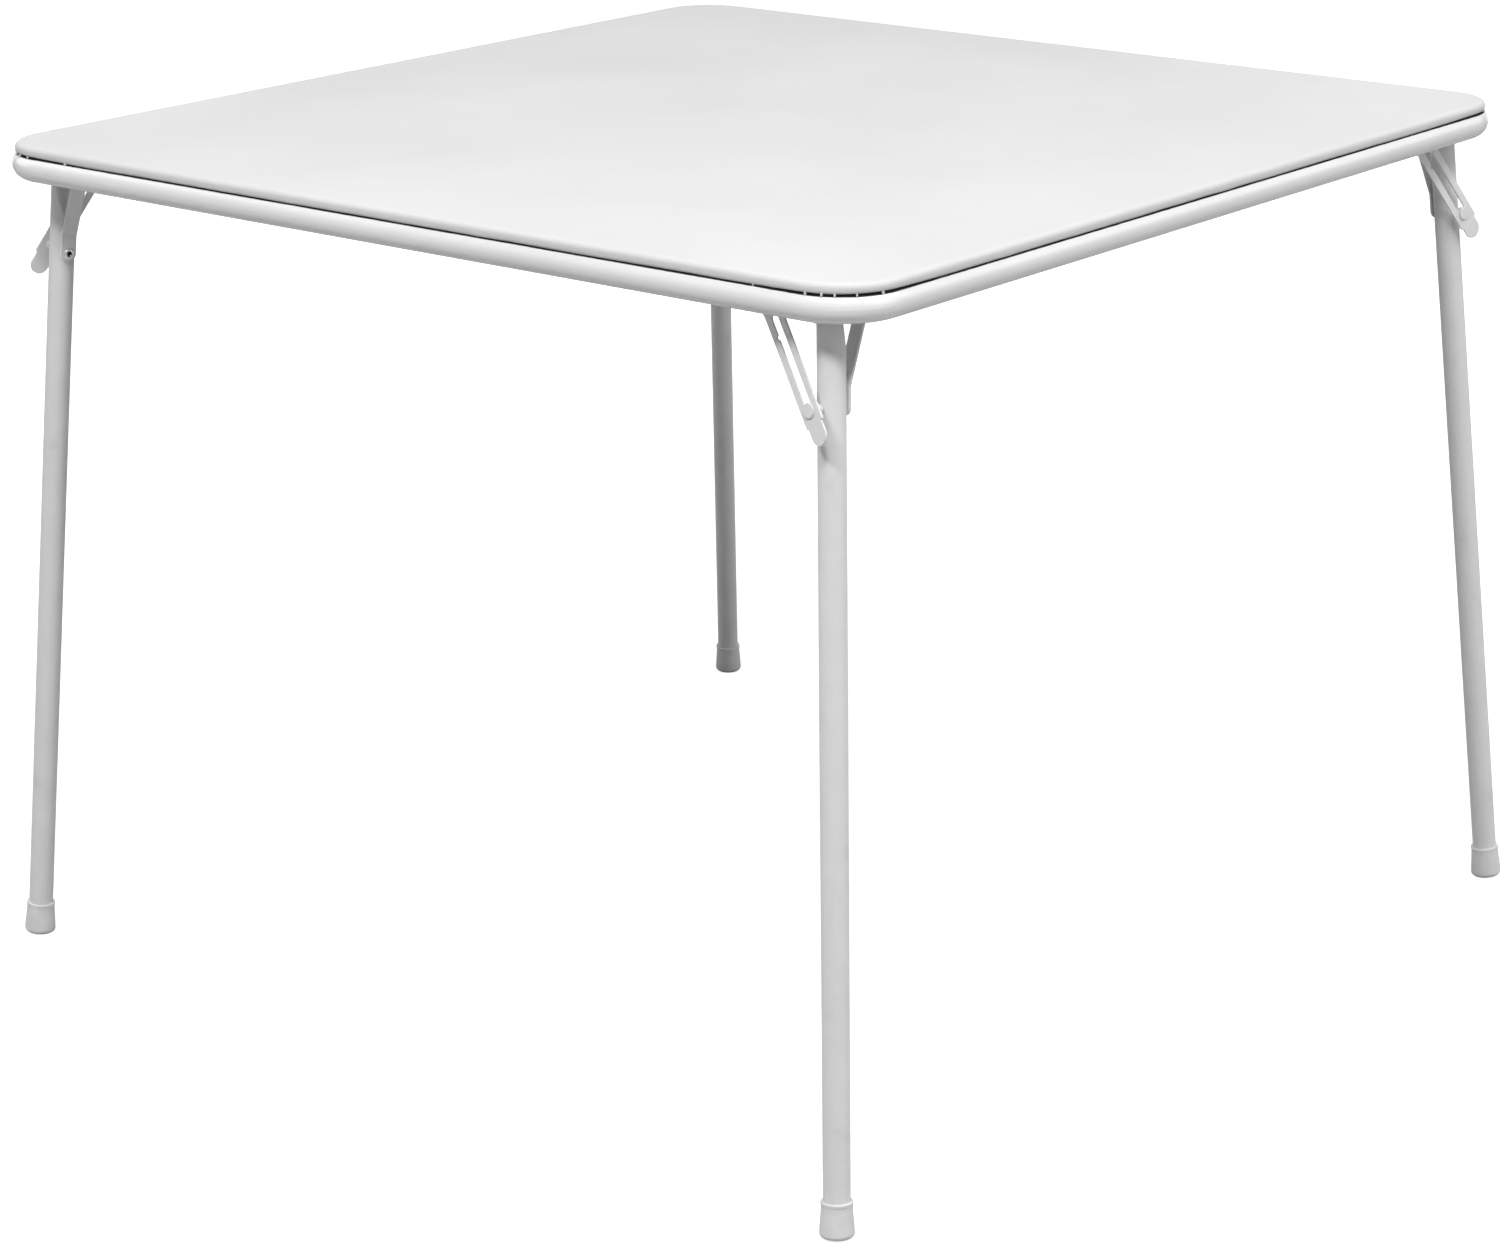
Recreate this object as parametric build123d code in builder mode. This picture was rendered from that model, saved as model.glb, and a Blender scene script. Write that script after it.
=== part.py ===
from build123d import *
from math import cos, hypot, radians, sin, sqrt
import os

os.makedirs("parts", exist_ok=True)

# Folding card table. Millimetres, +Z up. The origin is on the floor under the
# middle of the top. The front corner is at +X -Y; the left, back and right
# corners follow clockwise, each a quarter turn of the front one.

# Rim: one round tube bent to a square.
rim_side = 863.6
rail_diameter = 22.2
rail_wall = 1.2
rail_bend_radius = 38.5
rail_centre_height = 656.6

# Padded top: board, foam and a cover wrapped under the board.
cover_inset = 2.8
cover_thickness = 0.7
cover_edge_radius = 4.3
cover_lip_drop = 2.4
cover_lip_radius = 0.9
cover_wrap = 31.0
cover_seat_gap = 0.3
board_thickness = 2.6
foam_thickness = 2.0
foam_round_share = 0.95
pad_edge_gap = 0.5
foam_edge_gap = 0.1

# Staples that hold the cover under the board.
staple_width = 10.0
staple_leg = 2.6
staple_wire = 0.9
staple_inset = 6.0
staple_spacing = 76.0
staples_per_side = 8

# Legs.
leg_diameter = 19.8
leg_wall = 1.2
leg_stub = 9.5
leg_dent_length = 37.0
leg_lip_distance = 1.6
leg_trough_distance = -3.0
leg_lip_round = 1.0
leg_splay = 5.0
hinge_tilt = 3.96
fold_skew = 13.3
pivot_setback = 48.4
pivot_drop = 10.0
hinge_rail_gap = 1.3

# Foot caps.
cap_height = 27.0
cap_sole = 4.5
cap_base_diameter = 25.4
cap_top_diameter = 22.4
cap_base_radius = 3.6
cap_lip_radius = 0.7
cap_lip_height = 2.2
cap_lip_step = 0.5
cap_wear = 0.4
cap_fit = 0.05

# Hinge: pin, sleeve, strap and rivets.
pin_diameter = 6.0
pin_head_diameter = 10.5
pin_head_height = 1.6
pin_tail_diameter = 8.0
pin_tail_height = 0.8
running_fit = 0.1
fixed_fit = 0.03
side_gap = 0.1
strap_gauge = 1.6
strap_width = 12.8
strap_spread = 12.5
strap_low_flat = 14.0
strap_high_flat = 8.0
strap_bend_radius = 4.0
sleeve_diameter = 10.0
sleeve_side_gap = 2.0
rivet_diameter = 6.2
rivet_bore = 4.0
rivet_ring_diameter = 8.6
rivet_ring_height = 1.5
rivet_ring_round = 0.7

# Lock arm and its stud.
stud_distance = 63.1
arm_pivot_along = 41.4
arm_pivot_drop = 1.3
arm_gauge = 1.5
arm_width = 19.0
arm_head_radius = 10.2
arm_stand_off = 7.7
slot_width = 7.6
slot_head_distance = 9.5
shoulder_distance = 10.5
tab_width = 15.4
tab_reach = 25.4
shoulder_radius = 1.2
notch_radius = 1.7
stud_head_diameter = 10.6
stud_head_height = 1.2
stud_head_round = 0.5
stud_collar_diameter = 9.0
stud_collar_height = 2.2
stud_neck_diameter = 7.4
stud_leg_gap = 0.3
arm_rivet_diameter = 5.0
arm_rivet_head_diameter = 9.0
arm_rivet_head_height = 1.3
arm_rivet_tail_diameter = 7.6
arm_rivet_tail_height = 0.8

# Corner bracket, with its screws.
bracket_gauge = 1.8
bracket_reach = 92.0
bracket_toe = 20.0
bracket_corner_radius = 8.0
bracket_rail_gap = 0.08
bracket_cover_gap = 0.1
flange_depth = 14.5
flange_start = 30.0
flange_length = 54.0
ear_gap = 0.5
ear_radius = 6.6
pin_ear_back = 4.5
pin_ear_front = 12.0
screw_places_share = ((0.76, 0.21), (0.47, 0.47), (0.21, 0.76))
screw_diameter = 3.6
screw_head_diameter = 8.0
screw_head_height = 2.0
screw_depth = 2.1

overrun = 5.0

# Places that follow from the sizes.
rail_radius = rail_diameter / 2
leg_radius = leg_diameter / 2
rim_half = rim_side / 2
rim_outer_radius = rail_bend_radius + rail_radius
cover_half = rim_half - cover_inset
cover_outer_radius = rim_outer_radius - cover_inset
cover_bottom = rail_centre_height + rail_radius + cover_seat_gap
board_bottom = cover_bottom + cover_thickness
board_top = board_bottom + board_thickness
foam_top = board_top + foam_thickness
cover_top = foam_top + cover_thickness
board_inset = cover_thickness + pad_edge_gap
foam_round = foam_thickness * foam_round_share
foam_inset = cover_edge_radius - foam_round + foam_edge_gap

ear_inner = leg_radius + ear_gap
ear_outer = ear_inner + bracket_gauge
pivot_inset = rail_diameter + hinge_rail_gap + ear_outer * cos(radians(fold_skew))
pivot_height = rail_centre_height - pivot_drop
leg_drop = cos(radians(leg_splay)) * cos(radians(hinge_tilt))
leg_reach = pivot_height / leg_drop
lip_slope = (leg_radius - leg_lip_distance) / leg_dent_length
trough_slope = (leg_radius - leg_trough_distance) / leg_dent_length
sleeve_radius = sleeve_diameter / 2
trough_radius = sleeve_radius + sleeve_side_gap
trough_centre = leg_trough_distance + trough_radius * hypot(1, trough_slope)
sleeve_seat = trough_centre - sqrt(trough_radius**2 - sleeve_radius**2) + trough_slope * sleeve_radius / 2

strap_inner = leg_radius + fixed_fit
strap_outer = strap_inner + strap_gauge
strap_top_inner = strap_inner + strap_spread
strap_top_outer = strap_top_inner + strap_gauge
far_ear_inner = strap_top_outer + ear_gap
far_ear_outer = far_ear_inner + bracket_gauge

arm_inner = leg_radius + arm_stand_off
arm_outer = arm_inner + arm_gauge
arm_ear_inner = arm_outer + side_gap
arm_ear_outer = arm_ear_inner + bracket_gauge

stud_open = (-stud_distance * sin(radians(leg_splay)), -stud_distance * cos(radians(leg_splay)))
arm_pivot = (arm_pivot_along, -arm_pivot_drop)
reach_open = hypot(arm_pivot[0] - stud_open[0], arm_pivot[1] - stud_open[1])
reach_folded = hypot(stud_distance - arm_pivot[0], arm_pivot[1])
slot_length = reach_open - slot_head_distance

bracket_top = cover_bottom - bracket_cover_gap
bracket_bottom = bracket_top - bracket_gauge
bracket_edge = rail_diameter + bracket_rail_gap
bracket_inner_radius = rim_outer_radius - bracket_edge
flange_first = bracket_edge + flange_start

turns = {"front": 0, "left": 1, "back": 2, "right": 3}
quarter_turn = -360 / len(turns)


def turned(vector: Vector, corner: str) -> Vector:
    """Turn a vector of the front corner to the named corner."""
    return vector.rotate(Axis.Z, quarter_turn * turns[corner])


def fold_plane(corner: str) -> Plane:
    """Plane of a leg's swing: x along the folded leg, y up, z along the hinge pin towards the middle."""
    skew, tilt = radians(fold_skew), radians(hinge_tilt)
    pivot = Vector(rim_half - pivot_setback, pivot_inset - rim_half, pivot_height)
    folded = Vector(-cos(skew), sin(skew), 0)
    pin = Vector(sin(skew) * cos(tilt), cos(skew) * cos(tilt), -sin(tilt))
    return Plane(turned(pivot, corner), x_dir=turned(folded, corner), z_dir=turned(pin, corner))


def leg_plane(fold: Plane) -> Plane:
    """Plane across the open leg at its pivot, with z down the leg."""
    splay = radians(leg_splay)
    down = fold.x_dir * -sin(splay) + fold.y_dir * -cos(splay)
    return Plane(fold.origin, x_dir=fold.z_dir, z_dir=down)


def square_path(half: float, radius: float, height: float) -> Wire:
    """Closed level path round a rounded square, from the middle of the front side."""
    flat = half - radius
    with BuildLine() as path:
        Line((0, -half, height), (flat, -half, height))
        for quarter in range(4):
            angle = 90 * quarter
            CenterArc(Vector(flat, -flat, height).rotate(Axis.Z, angle), radius, angle - 90, 90)
            start = Vector(half, -flat, height)
            stop = Vector(half, flat if quarter < 3 else 0, height)
            Line(start.rotate(Axis.Z, angle), stop.rotate(Axis.Z, angle))
    return path.wire()


def side_plane(half: float, height: float) -> Plane:
    """Plane across the square path at its start, with x outwards and y up."""
    return Plane((0, -half, height), x_dir=(0, -1, 0), z_dir=(-1, 0, 0))


def dome_radius(half_width: float, height: float) -> float:
    """Radius of a dome of this height on a head of this half width."""
    return (half_width**2 + height**2) / (2 * height)


def leg_core(leg: Plane, side: Plane, wall: float) -> Part:
    """Leg this far inside its surface: a bar with its top dented on the strap's side."""
    top = -leg_stub - overrun
    top_lip = leg_lip_distance + lip_slope * top
    with BuildPart() as core:
        with BuildSketch(leg.offset(-leg_stub)):
            Circle(leg_radius - wall)
        extrude(amount=leg_stub + leg_reach - cap_sole)
        with BuildSketch(side):
            with BuildLine():
                Polyline(
                    (top_lip - wall, top),
                    (leg_radius - wall, leg_dent_length),
                    (leg_radius + overrun, leg_dent_length),
                    (leg_radius + overrun, top),
                    close=True,
                )
            make_face()
        extrude(amount=leg_diameter, both=True, mode=Mode.SUBTRACT)
        trough = Plane(
            leg.origin + leg.x_dir * trough_centre, x_dir=leg.y_dir, z_dir=leg.z_dir + leg.x_dir * trough_slope
        )
        with BuildSketch(trough):
            Circle(trough_radius + wall)
        extrude(amount=2 * leg_dent_length, both=True, mode=Mode.SUBTRACT)
    return core.part


def write(part: BuildPart, name: str) -> None:
    """Label a finished piece and write it."""
    part.part.label = name
    export_step(part.part, f"parts/{name}.step")


# Rim tube: a ring of tube swept round a rounded square.
with BuildPart() as rim_tube:
    with BuildSketch(side_plane(rim_half - rail_radius, rail_centre_height)):
        Circle(rail_radius)
        Circle(rail_radius - rail_wall, mode=Mode.SUBTRACT)
    sweep(path=square_path(rim_half - rail_radius, rail_bend_radius, rail_centre_height))
write(rim_tube, "rim_tube")

# Board, with a pilot hole over each bracket screw.
screw_places = []
for corner in turns:
    for share_u, share_a in screw_places_share:
        place = Vector(
            rim_half - bracket_edge - bracket_reach * share_u,
            bracket_edge + bracket_reach * share_a - rim_half,
            bracket_bottom,
        )
        screw_places.append(turned(place, corner))

with BuildPart() as top_board:
    with BuildSketch(Plane.XY.offset(board_bottom)):
        RectangleRounded(
            2 * (cover_half - board_inset), 2 * (cover_half - board_inset), cover_outer_radius - board_inset
        )
    extrude(amount=board_thickness)
    with BuildSketch(Plane.XY.offset(board_bottom)):
        with Locations(screw_places):
            Circle(screw_diameter / 2)
    extrude(amount=screw_depth, mode=Mode.SUBTRACT)
write(top_board, "top_board")

# Foam pad on the board, with its top edge rounded to the cover's.
with BuildPart() as foam_pad:
    with BuildSketch(Plane.XY.offset(board_top)):
        RectangleRounded(
            2 * (cover_half - foam_inset), 2 * (cover_half - foam_inset), cover_outer_radius - foam_inset
        )
    extrude(amount=foam_thickness)
    fillet(foam_pad.edges().group_by(Axis.Z)[-1], foam_round)
write(foam_pad, "foam_pad")

# Cover: an edge swept round the top, closed by a flat sheet. Its lip hangs
# outside the rail's crown, and its wrap runs inwards under the board.
crown_clear = rail_radius + cover_seat_gap
lip_inset = rail_radius - cover_inset
wrap_level = crown_clear
lip_level = wrap_level - cover_lip_drop
lip_reach = sqrt(crown_clear**2 - lip_level**2) - lip_inset
side_top = cover_top - rail_centre_height
inner_round = cover_edge_radius - cover_thickness
with BuildPart() as vinyl_cover:
    with BuildSketch(side_plane(cover_half, rail_centre_height)):
        with BuildLine():
            top_out = Line((-cover_wrap / 2, side_top), (-cover_edge_radius, side_top))
            top_arc = RadiusArc(top_out @ 1, (0, side_top - cover_edge_radius), cover_edge_radius)
            side_out = Line(top_arc @ 1, (0, lip_level + cover_lip_radius))
            lip_arc = RadiusArc(side_out @ 1, (-cover_lip_radius, lip_level), cover_lip_radius)
            lip_base = Line(lip_arc @ 1, (lip_reach, lip_level))
            crown = RadiusArc(lip_base @ 1, (-lip_inset, wrap_level), -crown_clear)
            wrap_low = Line(crown @ 1, (-cover_wrap, wrap_level))
            wrap_end = Line(wrap_low @ 1, (-cover_wrap, wrap_level + cover_thickness))
            wrap_high = Line(wrap_end @ 1, (-cover_thickness, wrap_level + cover_thickness))
            side_in = Line(wrap_high @ 1, (-cover_thickness, side_top - cover_edge_radius))
            in_arc = RadiusArc(side_in @ 1, (-cover_edge_radius, side_top - cover_thickness), -inner_round)
            top_in = Line(in_arc @ 1, (-cover_wrap / 2, side_top - cover_thickness))
            Line(top_in @ 1, top_out @ 0)
        make_face()
    sweep(path=square_path(cover_half, cover_outer_radius, rail_centre_height))
    with BuildSketch(Plane.XY.offset(foam_top)):
        sheet_inset = cover_wrap / 2 - cover_thickness
        RectangleRounded(
            2 * (cover_half - sheet_inset), 2 * (cover_half - sheet_inset), cover_outer_radius - sheet_inset
        )
    extrude(amount=cover_thickness)
write(vinyl_cover, "vinyl_cover")

# Staples through the wrap into the board.
with BuildPart() as cover_staples:
    for corner in turns:
        for number in range(staples_per_side):
            along = (number - (staples_per_side - 1) / 2) * staple_spacing
            centre = turned(Vector(along, cover_wrap - staple_inset - cover_half, cover_bottom), corner)
            ahead = turned(Vector(1, 0, 0), corner)
            with BuildSketch(Plane(centre - Vector(0, 0, staple_wire), x_dir=ahead, z_dir=(0, 0, 1))):
                Rectangle(staple_width, staple_wire)
            extrude(amount=staple_wire)
            with BuildSketch(Plane(centre, x_dir=ahead, z_dir=(0, 0, 1))):
                with GridLocations(staple_width - staple_wire, 0, 2, 1):
                    Rectangle(staple_wire, staple_wire)
            extrude(amount=staple_leg)
write(cover_staples, "cover_staples")

# Board screws: pan heads under the brackets.
with BuildPart() as board_screws:
    for place in screw_places:
        with BuildSketch(Plane(place)):
            Circle(screw_head_diameter / 2)
        extrude(amount=-screw_head_height)
        with BuildSketch(Plane(place)):
            Circle(screw_diameter / 2 - fixed_fit)
        extrude(amount=board_bottom - bracket_bottom + screw_depth - fixed_fit)
    fillet(
        board_screws.edges().filter_by(GeomType.CIRCLE).group_by(Axis.Z)[0], screw_head_height / 2
    )
write(board_screws, "board_screws")

for corner in turns:
    fold = fold_plane(corner)
    leg = leg_plane(fold)
    stud_place = leg.origin + leg.z_dir * stud_distance
    stud_plane = Plane(stud_place, x_dir=fold.x_dir, z_dir=fold.z_dir)
    arm_place = fold.from_local_coords(Vector(*arm_pivot))
    arm_plane = Plane(arm_place, x_dir=stud_place - arm_place, z_dir=fold.z_dir)

    # Leg: a straight tube with its top pressed in on the strap's side, drilled
    # for the hinge pin and the rivet.
    strap_side = Plane(leg.origin, x_dir=fold.z_dir, z_dir=fold.z_dir.cross(leg.z_dir))
    with BuildPart() as leg_tube:
        add(leg_core(leg, strap_side, 0))
        lip_edges = leg_tube.edges().filter_by(GeomType.ELLIPSE).sort_by(SortBy.LENGTH)[-4:]
        fillet(lip_edges, leg_lip_round)
        add(leg_core(leg, strap_side, leg_wall), mode=Mode.SUBTRACT)
        with BuildSketch(fold.offset(-leg_diameter)):
            Circle(pin_diameter / 2 + running_fit)
        extrude(amount=2 * leg_diameter, mode=Mode.SUBTRACT)
        with BuildSketch(stud_plane.offset(-leg_diameter)):
            Circle(rivet_diameter / 2 + fixed_fit)
        extrude(amount=2 * leg_diameter, mode=Mode.SUBTRACT)
    write(leg_tube, f"{corner}_leg")

    # Foot cap: a tapered rubber cup with a lip, worn flat where it stands.
    sole = leg.origin + leg.z_dir * (leg_reach - cap_wear)
    cap_plane = Plane(sole, x_dir=fold.z_dir, z_dir=fold.z_dir.cross(leg.z_dir * -1))
    cap_bore = leg_radius + cap_fit
    with BuildPart() as foot_cap:
        with BuildSketch(cap_plane):
            with BuildLine():
                base = Line((0, 0), (cap_base_diameter / 2 - cap_base_radius, 0))
                turn_up = RadiusArc(base @ 1, (cap_base_diameter / 2, cap_base_radius), -cap_base_radius)
                taper = Line(turn_up @ 1, (cap_top_diameter / 2, cap_height - cap_lip_height))
                step = Line(taper @ 1, (cap_top_diameter / 2 + cap_lip_step, cap_height - cap_lip_height))
                lip = Line(step @ 1, (cap_top_diameter / 2 + cap_lip_step, cap_height - cap_lip_radius))
                round_off = RadiusArc(
                    lip @ 1, (cap_top_diameter / 2 + cap_lip_step - cap_lip_radius, cap_height), -cap_lip_radius
                )
                rim = Line(round_off @ 1, (cap_bore, cap_height))
                bore = Line(rim @ 1, (cap_bore, cap_sole - cap_wear))
                floor_line = Line(bore @ 1, (0, cap_sole - cap_wear))
                Line(floor_line @ 1, base @ 0)
            make_face()
        revolve(axis=Axis(sole, cap_plane.y_dir))
        split(bisect_by=Plane.XY, keep=Keep.TOP)
    write(foot_cap, f"{corner}_foot_cap")

    # Strap: flat steel, riveted low on the leg and bent inwards to the hinge pin.
    low_bend = stud_distance - strap_low_flat
    strap_round = strap_width / 2
    with BuildPart() as leg_strap:
        with BuildSketch(strap_side):
            with BuildLine() as strap_line:
                FilletPolyline(
                    (strap_inner, stud_distance + strap_round),
                    (strap_inner, low_bend),
                    (strap_top_inner, strap_high_flat),
                    (strap_top_inner, -strap_round),
                    radius=strap_bend_radius,
                )
                offset(amount=strap_gauge, side=Side.LEFT)
            make_face()
        extrude(amount=strap_round, both=True)
        with BuildSketch(Plane(leg.origin, x_dir=leg.z_dir, z_dir=fold.z_dir)):
            with Locations((stud_distance / 2, 0)):
                SlotCenterToCenter(stud_distance, strap_width)
        extrude(amount=strap_top_outer + overrun, mode=Mode.INTERSECT)
        with BuildSketch(fold):
            Circle(pin_diameter / 2 + running_fit)
        extrude(amount=strap_top_outer + overrun, mode=Mode.SUBTRACT)
        with BuildSketch(stud_plane):
            Circle(rivet_diameter / 2 + fixed_fit)
        extrude(amount=strap_top_outer + overrun, mode=Mode.SUBTRACT)
    write(leg_strap, f"{corner}_leg_strap")

    # Tubular rivet: through strap and leg, with its open end rolled over the strap.
    stud_side = Plane(stud_place, x_dir=fold.x_dir, z_dir=fold.x_dir.cross(fold.z_dir))
    with BuildPart() as leg_rivet:
        with BuildSketch(stud_side) as rivet_half:
            with BuildLine():
                Polyline(
                    (rivet_bore / 2, cap_fit - leg_radius),
                    (rivet_diameter / 2, cap_fit - leg_radius),
                    (rivet_diameter / 2, strap_outer),
                    (rivet_ring_diameter / 2, strap_outer),
                    (rivet_ring_diameter / 2, strap_outer + rivet_ring_height),
                    (rivet_bore / 2, strap_outer + rivet_ring_height),
                    close=True,
                )
            make_face()
            fillet(rivet_half.vertices().group_by(Axis.Y)[-1], rivet_ring_round)
        revolve(axis=Axis(stud_place, fold.z_dir))
    write(leg_rivet, f"{corner}_leg_rivet")

    # Sleeve: from the leg's trough to the strap's top on the hinge pin.
    with BuildPart() as hinge_sleeve:
        with BuildSketch(fold.offset(sleeve_seat + side_gap)):
            Circle(sleeve_radius)
            Circle(pin_diameter / 2 + running_fit, mode=Mode.SUBTRACT)
        extrude(amount=strap_top_inner - sleeve_seat - 2 * side_gap)
    write(hinge_sleeve, f"{corner}_hinge_sleeve")

    # Hinge pin: a rivet across both ears, domed on the inner side.
    pin_side = Plane(fold.origin, x_dir=fold.x_dir, z_dir=fold.x_dir.cross(fold.z_dir))
    pin_dome_radius = dome_radius(pin_head_diameter / 2, pin_head_height)
    with BuildPart() as hinge_pin:
        with BuildSketch(pin_side):
            with BuildLine():
                pin_steps = Polyline(
                    (0, -ear_outer - pin_tail_height),
                    (pin_tail_diameter / 2, -ear_outer - pin_tail_height),
                    (pin_tail_diameter / 2, -ear_outer),
                    (pin_diameter / 2, -ear_outer),
                    (pin_diameter / 2, far_ear_outer),
                    (pin_head_diameter / 2, far_ear_outer),
                )
                pin_dome = RadiusArc(pin_steps @ 1, (0, far_ear_outer + pin_head_height), -pin_dome_radius)
                Line(pin_dome @ 1, pin_steps @ 0)
            make_face()
        revolve(axis=Axis(fold.origin, fold.z_dir))
    write(hinge_pin, f"{corner}_hinge_pin")

    # Lock arm: a slotted link with a notch where the folded leg stops and a
    # finger tab below the stud.
    tab_centre = reach_open + tab_reach - tab_width / 2
    shoulder = reach_open + shoulder_distance
    with BuildPart() as lock_arm:
        with BuildSketch(arm_plane.offset(-arm_outer)) as arm_outline:
            with Locations((shoulder / 2, 0)):
                Rectangle(shoulder, arm_width)
            fillet(arm_outline.vertices().group_by(Axis.X)[-1], shoulder_radius)
            Circle(arm_head_radius)
            with Locations((tab_centre / 2, 0)):
                Rectangle(tab_centre, tab_width)
            with Locations((tab_centre, 0)):
                Circle(tab_width / 2)
            with Locations(((slot_head_distance + reach_open) / 2, 0)):
                SlotCenterToCenter(slot_length, slot_width, mode=Mode.SUBTRACT)
            with Locations((reach_folded, slot_width / 2)):
                Circle(notch_radius, mode=Mode.SUBTRACT)
            Circle(arm_rivet_diameter / 2 + running_fit, mode=Mode.SUBTRACT)
        extrude(amount=arm_gauge)
    write(lock_arm, f"{corner}_lock_arm")

    # Arm rivet: through the arm and its ear, domed on the inner side.
    arm_side = Plane(arm_place, x_dir=fold.x_dir, z_dir=fold.x_dir.cross(fold.z_dir))
    arm_head_base = side_gap - arm_inner
    arm_dome_radius = dome_radius(arm_rivet_head_diameter / 2, arm_rivet_head_height)
    with BuildPart() as arm_rivet:
        with BuildSketch(arm_side):
            with BuildLine():
                arm_steps = Polyline(
                    (0, -arm_ear_outer - arm_rivet_tail_height),
                    (arm_rivet_tail_diameter / 2, -arm_ear_outer - arm_rivet_tail_height),
                    (arm_rivet_tail_diameter / 2, -arm_ear_outer),
                    (arm_rivet_diameter / 2, -arm_ear_outer),
                    (arm_rivet_diameter / 2, arm_head_base),
                    (arm_rivet_head_diameter / 2, arm_head_base),
                )
                arm_dome = RadiusArc(
                    arm_steps @ 1, (0, arm_head_base + arm_rivet_head_height), -arm_dome_radius
                )
                Line(arm_dome @ 1, arm_steps @ 0)
            make_face()
        revolve(axis=Axis(arm_place, fold.z_dir))
    write(arm_rivet, f"{corner}_arm_rivet")

    # Lock stud: a flat head outside the arm, a shank in its slot, and a collar
    # and neck that reach for the leg's rivet.
    stud_head_base = -arm_outer - side_gap
    stud_collar_base = side_gap - arm_inner
    with BuildPart() as lock_stud:
        with BuildSketch(stud_side) as stud_half:
            with BuildLine():
                Polyline(
                    (0, stud_head_base - stud_head_height),
                    (stud_head_diameter / 2, stud_head_base - stud_head_height),
                    (stud_head_diameter / 2, stud_head_base),
                    (slot_width / 2 - running_fit, stud_head_base),
                    (slot_width / 2 - running_fit, stud_collar_base),
                    (stud_collar_diameter / 2, stud_collar_base),
                    (stud_collar_diameter / 2, stud_collar_base + stud_collar_height),
                    (stud_neck_diameter / 2, stud_collar_base + stud_collar_height),
                    (stud_neck_diameter / 2, -leg_radius - stud_leg_gap),
                    (0, -leg_radius - stud_leg_gap),
                    close=True,
                )
            make_face()
            fillet(stud_half.vertices().group_by(Axis.Y)[0].sort_by(Axis.X)[-1], stud_head_round)
        revolve(axis=Axis(stud_place, fold.z_dir))
    write(lock_stud, f"{corner}_lock_stud")

    # Corner bracket: a gusset under the board, a flange welded to each rail, two
    # ears for the hinge pin and one for the lock arm.
    corner_plane = Plane(
        turned(Vector(rim_half, -rim_half, bracket_top), corner),
        x_dir=turned(Vector(-1, 0, 0), corner),
        z_dir=(0, 0, -1),
    )
    with BuildPart() as corner_bracket:
        with BuildSketch(corner_plane) as gusset:
            with BuildLine():
                inner_corner = CenterArc((rim_outer_radius, rim_outer_radius), bracket_inner_radius, 180, 90)
                gusset_edge = Polyline(
                    inner_corner @ 1,
                    (bracket_edge + bracket_reach, bracket_edge),
                    (bracket_edge + bracket_reach, bracket_edge + bracket_toe),
                    (bracket_edge + bracket_toe, bracket_edge + bracket_reach),
                    (bracket_edge, bracket_edge + bracket_reach),
                    inner_corner @ 0,
                )
            make_face()
            fillet(gusset.vertices().sort_by_distance(gusset_edge @ 0)[2:], bracket_corner_radius)
        extrude(amount=bracket_gauge)
        with BuildSketch(corner_plane):
            with Locations((flange_first, bracket_edge)):
                Rectangle(flange_length, bracket_gauge, align=(Align.MIN, Align.MIN))
            with Locations((bracket_edge, flange_first)):
                Rectangle(bracket_gauge, flange_length, align=(Align.MIN, Align.MIN))
        extrude(amount=flange_depth)
        for level in (-ear_outer, far_ear_inner):
            with BuildSketch(fold.offset(level)):
                Circle(ear_radius)
                with Locations((-pin_ear_back, 0)):
                    Rectangle(
                        pin_ear_back + pin_ear_front,
                        bracket_top - pivot_height + overrun,
                        align=(Align.MIN, Align.MIN),
                    )
            extrude(amount=bracket_gauge)
        with BuildSketch(fold.offset(-arm_ear_outer)):
            with Locations(arm_pivot):
                Circle(ear_radius)
                Rectangle(
                    2 * ear_radius, bracket_top - pivot_height + overrun, align=(Align.CENTER, Align.MIN)
                )
        extrude(amount=bracket_gauge)
        split(bisect_by=Plane.XY.offset(bracket_top), keep=Keep.BOTTOM)
        with BuildSketch(fold.offset(-ear_outer - overrun)):
            Circle(pin_diameter / 2 + fixed_fit)
        extrude(amount=ear_outer + far_ear_outer + 2 * overrun, mode=Mode.SUBTRACT)
        with BuildSketch(fold.offset(-arm_ear_outer - overrun)):
            with Locations(arm_pivot):
                Circle(arm_rivet_diameter / 2 + fixed_fit)
        extrude(amount=bracket_gauge + 2 * overrun, mode=Mode.SUBTRACT)
        with BuildSketch(corner_plane):
            for share_u, share_a in screw_places_share:
                with Locations((bracket_edge + bracket_reach * share_u, bracket_edge + bracket_reach * share_a)):
                    Circle(screw_diameter / 2)
        extrude(amount=bracket_gauge, mode=Mode.SUBTRACT)
    write(corner_bracket, f"{corner}_corner_bracket")
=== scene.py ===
"""Looks of a folding card table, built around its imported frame.

The vinyl cover with its tucks, the foam under it and the weld beads are modelled here. The
steel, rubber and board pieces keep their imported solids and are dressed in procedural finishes.
"""

import logging
from dataclasses import dataclass, field
from enum import Enum
from math import cos, pi, radians, sin, sqrt
from typing import Any

import bmesh
import bpy
from mathutils import Matrix, Vector, noise


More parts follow.
